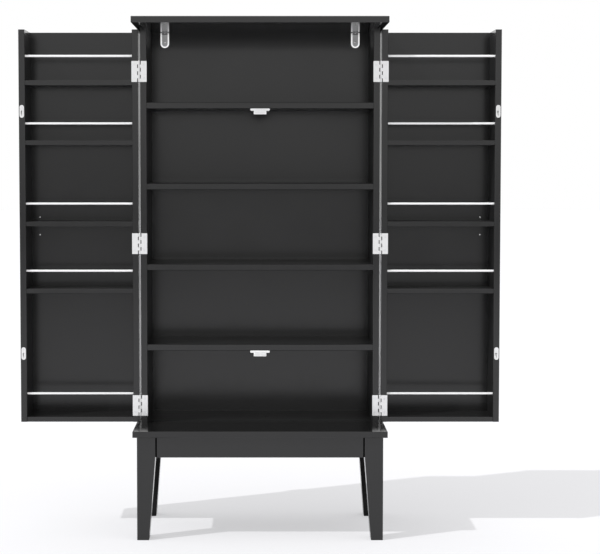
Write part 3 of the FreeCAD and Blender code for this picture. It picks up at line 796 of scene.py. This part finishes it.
def countersunk_screw(head_height):
    """A screw whose head is flush with the origin and which points to +Y."""
    screw = cone((0, 0, 0), "y", head_height, HEAD, SHANK)
    work_on(screw)
    pick_faces(lambda middle, normal: normal.y > 0.99)
    straight = SCREW_LENGTH - SCREW_POINT - head_height
    bpy.ops.mesh.extrude_region_move(TRANSFORM_OT_translate={"value": (0, straight, 0)})
    bpy.ops.mesh.extrude_region_move(TRANSFORM_OT_translate={"value": (0, SCREW_POINT, 0)})
    bpy.ops.mesh.merge(type="CENTER")
    pick_edges(lambda p: near(p.y, 0))
    bpy.ops.mesh.bevel(offset=HEAD_EDGE, segments=2, affect="EDGES")
    stop_work()
    return cut(screw, *cross_recess(0, span=3.0 * MM, width=0.62 * MM, depth=1.0 * MM))


hinge_screw = countersunk_screw(1.5 * MM)
print("hinge screw:", len(hinge_screw.data.polygons), "faces")

# %% [markdown]
# Two screws hold each leaf. Those of the case are one CAD node for both sides, those of the doors
# are one node for each door.

# %% Hinge screws in place
def hinge_screws(side, owner):
    """The screws of one side's leaves; owner is -1 on the case and 1 on the door."""
    x = side * (PIVOT_X + owner * LEAF_MIDDLE)
    places = [(x, PIVOT_Y + LEAF_FACE, height + rise)
              for height in HINGE_HEIGHTS for rise in (-SCREW_RISE, SCREW_RISE)]
    return [copy_to(hinge_screw, place) for place in places]


case_screws = hinge_screws(1, -1) + hinge_screws(-1, -1)
hand_over(join(case_screws), "case_hinge_screws_piece", screw_plate)
for hand, side in (("right", 1), ("left", -1)):
    hand_over(join(hinge_screws(side, 1)), f"{hand}_door_hinge_screws_piece", screw_plate)
used_up(hinge_screw)

# %% [markdown]
# ## Guard rails
#
# A satin white rod crosses the front of each rack, with its ends in holes in the two stiles. It
# could be a curve with a round bevel, but a cylinder with inset ends and bevelled edges has the small
# chamfer of a sawn rod. All ten are alike, so the first door's CAD box gives their length.

# %% One rail
RAIL = 2.75 * MM
RAIL_INSET = 0.6 * MM
RAIL_CHAMFER = 0.3 * MM
rail_boxes = {hand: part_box(f"{hand}_door_rails") for hand in ("right", "left")}
low, high = rail_boxes["right"]
rail_length = high.x - low.x

rail = cone((0, 0, 0), "x", rail_length, RAIL, RAIL, sides=40)
work_on(rail)
pick_faces(lambda middle, normal: abs(normal.x) > 0.99)
bpy.ops.mesh.inset(thickness=RAIL_INSET, use_individual=True)
pick_edges(lambda p: near(p.x, 0) or near(p.x, rail_length))
bpy.ops.mesh.bevel(offset=RAIL_CHAMFER, segments=2, affect="EDGES")
stop_work()
print(f"rail: {rail_length / MM:.1f} mm long")

# %% [markdown]
# The heights are the five that the CAD has, and each door's CAD box says where its rails start.

# %% Rails in place
RAIL_Y = -31 * MM
RAIL_HEIGHTS = (1165 * MM, 1001 * MM, 805 * MM, 640 * MM, 337 * MM)

for hand, (low, high) in rail_boxes.items():
    rails = [copy_to(rail, (low.x, RAIL_Y, height)) for height in RAIL_HEIGHTS]
    hand_over(join(rails), f"{hand}_door_rails_piece", bright_rail)
used_up(rail)

# %% [markdown]
# ## Strikes
#
# Each door carries two small plates that the catches' magnets pull on: oblong, with half-round ends,
# a rim and a shallow dish with one screw in it. A cube whose four corners are bevelled by nearly
# half its width becomes the oblong. Its face is inset, pushed in and drawn together for the dish.

# %% One strike and its screw
STRIKE_HALF = 5.5 * MM
STRIKE_REACH = 15.5 * MM
STRIKE_THICK = 1.2 * MM
STRIKE_RIM = 2.0 * MM
DISH = 0.4 * MM
DISH_TAPER = (0.75, 1, 0.93)
ROUND_END = 0.998           # a bevel just short of half the width leaves a whole face at the end

strike = cube((-STRIKE_HALF, 0, -STRIKE_REACH), (STRIKE_HALF, STRIKE_THICK, STRIKE_REACH))
work_on(strike)
pick_edges_along("y", lambda p: True)
bpy.ops.mesh.bevel(offset=ROUND_END * STRIKE_HALF, segments=12, affect="EDGES")
pick_faces(lambda middle, normal: normal.y < -0.99)
bpy.ops.mesh.inset(thickness=STRIKE_RIM)
bpy.ops.mesh.extrude_region_move(TRANSFORM_OT_translate={"value": (0, DISH, 0)})
bpy.ops.transform.resize(value=DISH_TAPER)
stop_work()
soften(strike, 0.25 * MM, segments=3, angle=50)
cut(strike, screw_hole(0, 0, DISH, STRIKE_THICK))
strike_screw = countersunk_screw(STRIKE_THICK - DISH)
print("strike:", len(strike.data.polygons), "faces")

# %% [markdown]
# A strike sits on the front edge of the door's free stile, level with the middle of the catch that
# it meets when the door is closed.

# %% Strikes in place
STRIKE_X = 581.5 * MM
STRIKE_Y = -40.2 * MM
CATCH_ROOFS = (443.5 * MM, 1037.125 * MM)
CATCH_HEIGHT = 14 * MM

for hand, side in (("right", 1), ("left", -1)):
    places = [Vector((side * STRIKE_X, STRIKE_Y, roof - CATCH_HEIGHT / 2)) for roof in CATCH_ROOFS]
    strikes = [copy_to(strike, place) for place in places]
    screws = [copy_to(strike_screw, place + Vector((0, DISH, 0))) for place in places]
    hand_over(join(strikes), f"{hand}_door_strikes_piece", strike_plate)
    hand_over(join(screws), f"{hand}_door_strike_screws_piece", screw_plate)
used_up(strike, strike_screw)

# %% [markdown]
# ## Catches
#
# A magnetic catch hangs under a shelf by two ears. It is one plastic moulding, so its edges are
# rounded and it has two pockets for the magnets. Ears and body are two cubes welded together, with
# the ears' ends bevelled round.

# %% One catch
EAR_HALF = 24 * MM
EAR_THICK = 5 * MM
EAR_DEPTH = 16 * MM
EAR_SCREW_X = 19.75 * MM
EAR_SCREW_Y = 10 * MM
BODY_HALF = 15.5 * MM
BODY_DEPTH = 18 * MM
BODY_ROUND, EAR_ROUND = 1.2 * MM, 2.2 * MM
DRILL_OVERCUT = 1 * MM
MAGNET_X = (1.25 * MM, 13 * MM)
MAGNET_Y = (-1 * MM, 11 * MM)
MAGNET_Z = (-11.5 * MM, -2.5 * MM)

catch = cube((-BODY_HALF, 0, -CATCH_HEIGHT), (BODY_HALF, BODY_DEPTH, 0))
work_on(catch)
pick_edges_along("y", lambda p: near(p.z, -CATCH_HEIGHT))
bpy.ops.mesh.bevel(offset=BODY_ROUND, segments=4, affect="EDGES")
stop_work()
ears = cube((-EAR_HALF, 0, -EAR_THICK), (EAR_HALF, EAR_DEPTH, 0))
work_on(ears)
pick_edges_along("y", lambda p: True)
bpy.ops.mesh.bevel(offset=EAR_ROUND, segments=5, affect="EDGES")
stop_work()
weld(catch, ears)
soften(catch, 0.35 * MM, segments=3, angle=50)
for side in (-1, 1):
    xs = sorted(side * x for x in MAGNET_X)
    pocket = cube((xs[0], MAGNET_Y[0], MAGNET_Z[0]), (xs[1], MAGNET_Y[1], MAGNET_Z[1]))
    drill = cone((side * EAR_SCREW_X, EAR_SCREW_Y, -EAR_THICK - DRILL_OVERCUT), "z",
                 EAR_THICK + 2 * DRILL_OVERCUT, SHANK + SCREW_PLAY, SHANK + SCREW_PLAY)
    cut(catch, pocket, drill)
print("catch:", len(catch.data.polygons), "faces")

# %% [markdown]
# Each magnet is capped by a steel pole plate that stands a little ahead of the plastic. Its face is
# inset and sunk slightly, as pressed plates are.

# %% One magnet, and all of them in place
POLE_CORNER = 0.6 * MM
POLE_RIM = 0.9 * MM
POLE_SINK = 0.2 * MM
POLE_TAPER = (0.95, 1, 0.93)

magnet = cube((MAGNET_X[0], MAGNET_Y[0], MAGNET_Z[0]), (MAGNET_X[1], MAGNET_Y[1], MAGNET_Z[1]))
work_on(magnet)
pick_edges_along("y", lambda p: True)
bpy.ops.mesh.bevel(offset=POLE_CORNER, segments=3, affect="EDGES")
pick_faces(lambda middle, normal: normal.y < -0.99)
bpy.ops.mesh.inset(thickness=POLE_RIM)
bpy.ops.mesh.extrude_region_move(TRANSFORM_OT_translate={"value": (0, POLE_SINK, 0)})
bpy.ops.transform.resize(value=POLE_TAPER)
stop_work()
soften(magnet, 0.2 * MM, segments=2, angle=60)

CATCH_FRONT = -40 * MM

seats = [Vector((0, CATCH_FRONT, roof)) for roof in CATCH_ROOFS]
for name, seat in zip(("lower", "upper"), seats):
    hand_over(copy_to(catch, seat), f"{name}_catch_piece", catch_plastic)
magnets = [copy_to(magnet, seat, mirrored=side < 0) for seat in seats for side in (-1, 1)]
hand_over(join(magnets), "catch_magnets_piece", pole_plate)
used_up(catch, magnet)

# %% [markdown]
# ## Brackets
#
# Two stamped angles hold the top to the back. The tongue that shows is a strip with a round end and
# a raised rim, which stiffens thin steel and gets lower towards the round end. It is modelled as a
# thick tongue with a smaller one cut out of its face, and the flange under the top is welded on.

# %% One bracket
BRACKET_HALF = 11 * MM
BRACKET_DROP = 38 * MM
BRACKET_FLANGE = 24 * MM
BRACKET_THICK = 1.5 * MM
RIM_WIDTH = 3.9 * MM
RIM_HEIGHT = 1.4 * MM
RIM_STEPS = ((-12 * MM, 0.38 * MM), (-25 * MM, 0.20 * MM))  # below each level the rim is this much lower
FLANGE_ROUND = 4 * MM
SET_BACK = 0.01 * MM        # keeps the flange's end out of the tongue's back face


def tongue(half_width, front, back, low, high):
    """A strip that hangs down and ends in a half round."""
    strip = cube((-half_width, front, low), (half_width, back, high))
    work_on(strip)
    pick_edges_along("y", lambda p: near(p.z, low))
    bpy.ops.mesh.bevel(offset=ROUND_END * half_width, segments=16, affect="EDGES")
    return stop_work()


bracket = tongue(BRACKET_HALF, -BRACKET_THICK - RIM_HEIGHT, 0, -BRACKET_DROP, 0)
work_on(bracket)
for level, lowering in RIM_STEPS:
    bpy.ops.mesh.select_all(action="SELECT")
    bpy.ops.mesh.bisect(plane_co=(0, 0, level), plane_no=(0, 0, 1))
    pick_edges(lambda p: p.y < -BRACKET_THICK and p.z < level + 0.1 * MM)
    bpy.ops.transform.translate(value=(0, lowering, 0))
stop_work()
recess = tongue(BRACKET_HALF - RIM_WIDTH, -BRACKET_THICK - 2 * RIM_HEIGHT, -BRACKET_THICK,
                RIM_WIDTH - BRACKET_DROP, 1 * MM)
cut(bracket, recess)
flange = cube((-BRACKET_HALF, -BRACKET_FLANGE, -BRACKET_THICK), (BRACKET_HALF, -SET_BACK, 0))
work_on(flange)
pick_edges_along("z", lambda p: near(p.y, -BRACKET_FLANGE))
bpy.ops.mesh.bevel(offset=FLANGE_ROUND, segments=8, affect="EDGES")
stop_work()
weld(bracket, flange)
soften(bracket, 0.2 * MM, segments=1, angle=40)
print("bracket:", len(bracket.data.polygons), "faces")

# %% [markdown]
# ## Pan-head screws
#
# Brackets, catches and pulls are held by screws whose heads stand on the surface. A short cylinder
# gets a domed edge by a wide bevel, the shank is extruded from an inset in its underside, and the
# same cross is cut into its face.

# %% Pan-head screws
def pan_screw(head_radius, head_height, shank, length):
    """A screw seated at the origin, with its head towards -Y and its shank along +Y."""
    screw = cone((0, -head_height, 0), "y", head_height, head_radius, head_radius)
    work_on(screw)
    pick_edges(lambda p: near(p.y, -head_height))
    bpy.ops.mesh.bevel(offset=0.7 * head_height, segments=4, affect="EDGES")
    pick_faces(lambda middle, normal: normal.y > 0.99)
    bpy.ops.mesh.inset(thickness=head_radius - shank)
    bpy.ops.mesh.extrude_region_move(TRANSFORM_OT_translate={"value": (0, length, 0)})
    stop_work()
    recess = cross_recess(-head_height, span=1.1 * head_radius, width=0.24 * head_radius,
                          depth=0.7 * head_height)
    return cut(screw, *recess)


PAN_HEIGHT = 1.2 * MM
panel_screw = pan_screw(HEAD, PAN_HEIGHT, SHANK, length=5.5 * MM)
board_screw = pan_screw(HEAD, PAN_HEIGHT, SHANK, length=12 * MM)
print("pan-head screw:", len(board_screw.data.polygons), "faces")

# %% [markdown]
# A bracket has a short screw through its tongue into the thin back panel and a longer one through
# its flange into the top. A catch has one of the longer ones through each ear into its shelf.

# %% Brackets, their screws and the catches' screws in place
BRACKET_X = 243 * MM
TONGUE_SCREW_DROP = 23 * MM
FLANGE_SCREW_REACH = 15 * MM

screws = []
for hand, side in (("right", 1), ("left", -1)):
    corner = Vector((side * BRACKET_X, BACK_FACE, TOP_UNDER))
    in_tongue = corner + Vector((0, -BRACKET_THICK, -TONGUE_SCREW_DROP))
    in_flange = corner + Vector((0, -FLANGE_SCREW_REACH, -BRACKET_THICK))
    screws += [copy_to(panel_screw, in_tongue), copy_to(board_screw, in_flange, upwards=True)]
    hand_over(copy_to(bracket, corner), f"{hand}_bracket_piece", bracket_plate)
hand_over(join(screws), "bracket_screws_piece", polished_screw)

in_ears = [seat + Vector((side * EAR_SCREW_X, EAR_SCREW_Y, -EAR_THICK)) for seat in seats for side in (-1, 1)]
screws = [copy_to(board_screw, place, upwards=True) for place in in_ears]
hand_over(join(screws), "catch_screws_piece", screw_plate)
used_up(bracket, panel_screw, board_screw)

# %% [markdown]
# ## Pulls
#
# On the outside each door has a small bow pull, bent from flat bar. The bar's middle is a cube; its
# two ends are cut off by bisecting, and their inner faces are extruded to the door as feet. After
# the leftover cuts are dissolved, a wide bevel outside and a narrow one inside make each bend.

# %% One pull
PULL_HALF = 25.75 * MM
PULL_BAR = 8 * MM
PULL_HALF_WIDTH = 5.5 * MM
PULL_REACH = 28 * MM
PULL_BEND = 3 * MM

pull = cube((-PULL_HALF_WIDTH, PULL_REACH - PULL_BAR, -PULL_HALF),
            (PULL_HALF_WIDTH, PULL_REACH, PULL_HALF))
work_on(pull)
for level in (PULL_HALF - PULL_BAR, PULL_BAR - PULL_HALF):
    bpy.ops.mesh.select_all(action="SELECT")
    bpy.ops.mesh.bisect(plane_co=(0, 0, level), plane_no=(0, 0, 1))
pick_faces(lambda middle, normal: normal.y < -0.9 and abs(middle.z) > PULL_HALF - PULL_BAR)
bpy.ops.mesh.extrude_region_move(TRANSFORM_OT_translate={"value": (0, PULL_BAR - PULL_REACH, 0)})
bpy.ops.mesh.select_all(action="SELECT")
bpy.ops.mesh.dissolve_limited(angle_limit=math.radians(1))
for face_y, end_z, radius, steps in ((PULL_REACH, PULL_HALF, PULL_BEND + PULL_BAR, 10),
                                     (PULL_REACH - PULL_BAR, PULL_HALF - PULL_BAR, PULL_BEND, 6)):
    pick_edges_along("x", lambda p: near(p.y, face_y) and near(abs(p.z), end_z))
    bpy.ops.mesh.bevel(offset=radius, segments=steps, affect="EDGES")
stop_work()
soften(pull, 0.7 * MM, segments=3, angle=40)
pull_screw = pan_screw(head_radius=2.7 * MM, head_height=1.8 * MM, shank=1.6 * MM, length=24 * MM)
print("pull:", len(pull.data.polygons), "faces")

# %% [markdown]
# Two screws hold a pull through the door panel, from inside the rack. Only their heads show in the
# photograph, and they give the pull's place and length. Its shape is a plain guess.

# %% Pulls and their screws in place
PULL_X = 553 * MM
DOOR_FACE = 92 * MM
PULL_SCREW_HEIGHTS = (724.75 * MM, 768.25 * MM)

for hand, side in (("right", 1), ("left", -1)):
    middle = Vector((side * PULL_X, DOOR_FACE, sum(PULL_SCREW_HEIGHTS) / 2))
    hand_over(copy_to(pull, middle), f"{hand}_door_pull_piece", black_pull)
    screws = [copy_to(pull_screw, (side * PULL_X, RACK_BACK, height)) for height in PULL_SCREW_HEIGHTS]
    hand_over(join(screws), f"{hand}_door_pull_screws_piece", polished_screw)
used_up(pull, pull_screw)

# %% [markdown]
# ## Floor
#
# The cabinet stands on a wide white floor. Part of its white is a light of its own that only the
# camera sees, so it comes out just short of white and its shadow isn't too deep. Black gloss shows
# what stands before it. In the photograph the panels are darkest at about half their height, where
# they mirror the horizon, so in front of the cabinet the far floor is dimmer, but only in reflections.

# %% Floor
FLOOR_LIFT = 0.45           # how much of the floor's white is its own, to the camera
NEAR_FLOOR, FAR_FLOOR = 4.0, 17.0
NEAR_DIMMING, FAR_DIMMING = 0.10, 0.85

bpy.ops.object.select_all(action="DESELECT")
bpy.ops.mesh.primitive_plane_add(size=60)
floor = bpy.context.object
floor.name = "studio_floor"
floor_white, place = start_finish("floor_white")
drift = place.noise(0.8).blend((0.92, 0.92, 0.942), (0.94, 0.94, 0.962))
matt = place.node("ShaderNodeBsdfDiffuse", {}, {"Color": drift})
glow = place.node("ShaderNodeEmission", {}, {"Color": (0.983, 0.982, 1.0, 1), "Strength": 1.0})
to_camera = place.node("ShaderNodeLightPath", out="Is Camera Ray")
lifted = place.node("ShaderNodeMixShader", {}, {0: FLOOR_LIFT * to_camera, 1: matt, 2: glow})
away = place.node("ShaderNodeVectorMath", {"operation": "LENGTH"}, {0: place}, out="Value")
mirrored = place.node("ShaderNodeLightPath", out="Is Glossy Ray")
fading = away.between(NEAR_FLOOR, FAR_FLOOR, NEAR_DIMMING, FAR_DIMMING)
dimming = mirrored * fading * place.axis("Y").between(-1.0, 0.5, 1.0, 0.0)
dimmed = place.node("ShaderNodeMixShader", {}, {0: dimming, 1: lifted})
place.node("ShaderNodeOutputMaterial", {}, {"Surface": dimmed})
floor.data.materials.append(floor_white)
print("white floor")

# %% [markdown]
# ## Light
#
# The shadow in the photograph has a clear edge and runs to the right and a little away, so a sun
# stands high on the left in front. Everything else is even light from all round. The world is
# plain white to the camera and to reflections, and a little dimmer as a lamp. In reflections the
# lowest strip of sky in front is dimmer too, and goes on where the far floor ends.

# %% Light
AMBIENT = 0.79
HORIZON_DIMMING = 0.45
SUN_PATH = Vector((0.872, 0.525, -1.0))

world = bpy.data.worlds.new("white_studio")
bpy.context.scene.world = world
world.use_nodes = True
world.node_tree.nodes.clear()
sky = Wire(world.node_tree)
to_camera, mirrored, let_through = (sky.node("ShaderNodeLightPath", out=f"Is {kind} Ray")
                                    for kind in ("Camera", "Glossy", "Transmission"))
seen = to_camera + mirrored + let_through
direction = sky.node("ShaderNodeTexCoord", out="Generated")
low_sky = direction.axis("Z").between(-0.04, 0.03, HORIZON_DIMMING, 0.0)
horizon = mirrored * low_sky * direction.axis("Y").between(-0.2, 0.2, 1.0, 0.0)
strength = AMBIENT + (1 - AMBIENT) * seen - horizon
light = sky.node("ShaderNodeBackground", {}, {"Color": (1, 1, 1, 1), "Strength": strength})
sky.node("ShaderNodeOutputWorld", {}, {"Surface": light})

bpy.ops.object.light_add(type="SUN")
sun = bpy.context.object
sun.name = "key_sun"
sun.rotation_euler = SUN_PATH.to_track_quat("-Z", "Y").to_euler()
sun.data.energy = 1.75
sun.data.angle = math.radians(0.8)
print("white world and sun")

# %% [markdown]
# ## Camera
#
# The camera stands straight in front, 0.9 m over the floor, with a long lens and a slight downward
# tilt. The cabinet sits left of the middle of the picture. That is a shift of the lens and not a
# turn of the camera, because its two sides are foreshortened alike.

# %% Camera
CAMERA_PLACE = (0, -4.5678, 0.9044)
CAMERA_TILT = 0.0616        # downwards, in radians

bpy.ops.object.camera_add(location=CAMERA_PLACE, rotation=(math.pi / 2 - CAMERA_TILT, 0, 0))
camera = bpy.context.object
camera.data.lens = 110.93
camera.data.sensor_width = 36
camera.data.shift_x = 0.0666
bpy.context.scene.camera = camera
bpy.context.scene.view_settings.view_transform = "Standard"
print("camera at", [round(v, 3) for v in camera.location])
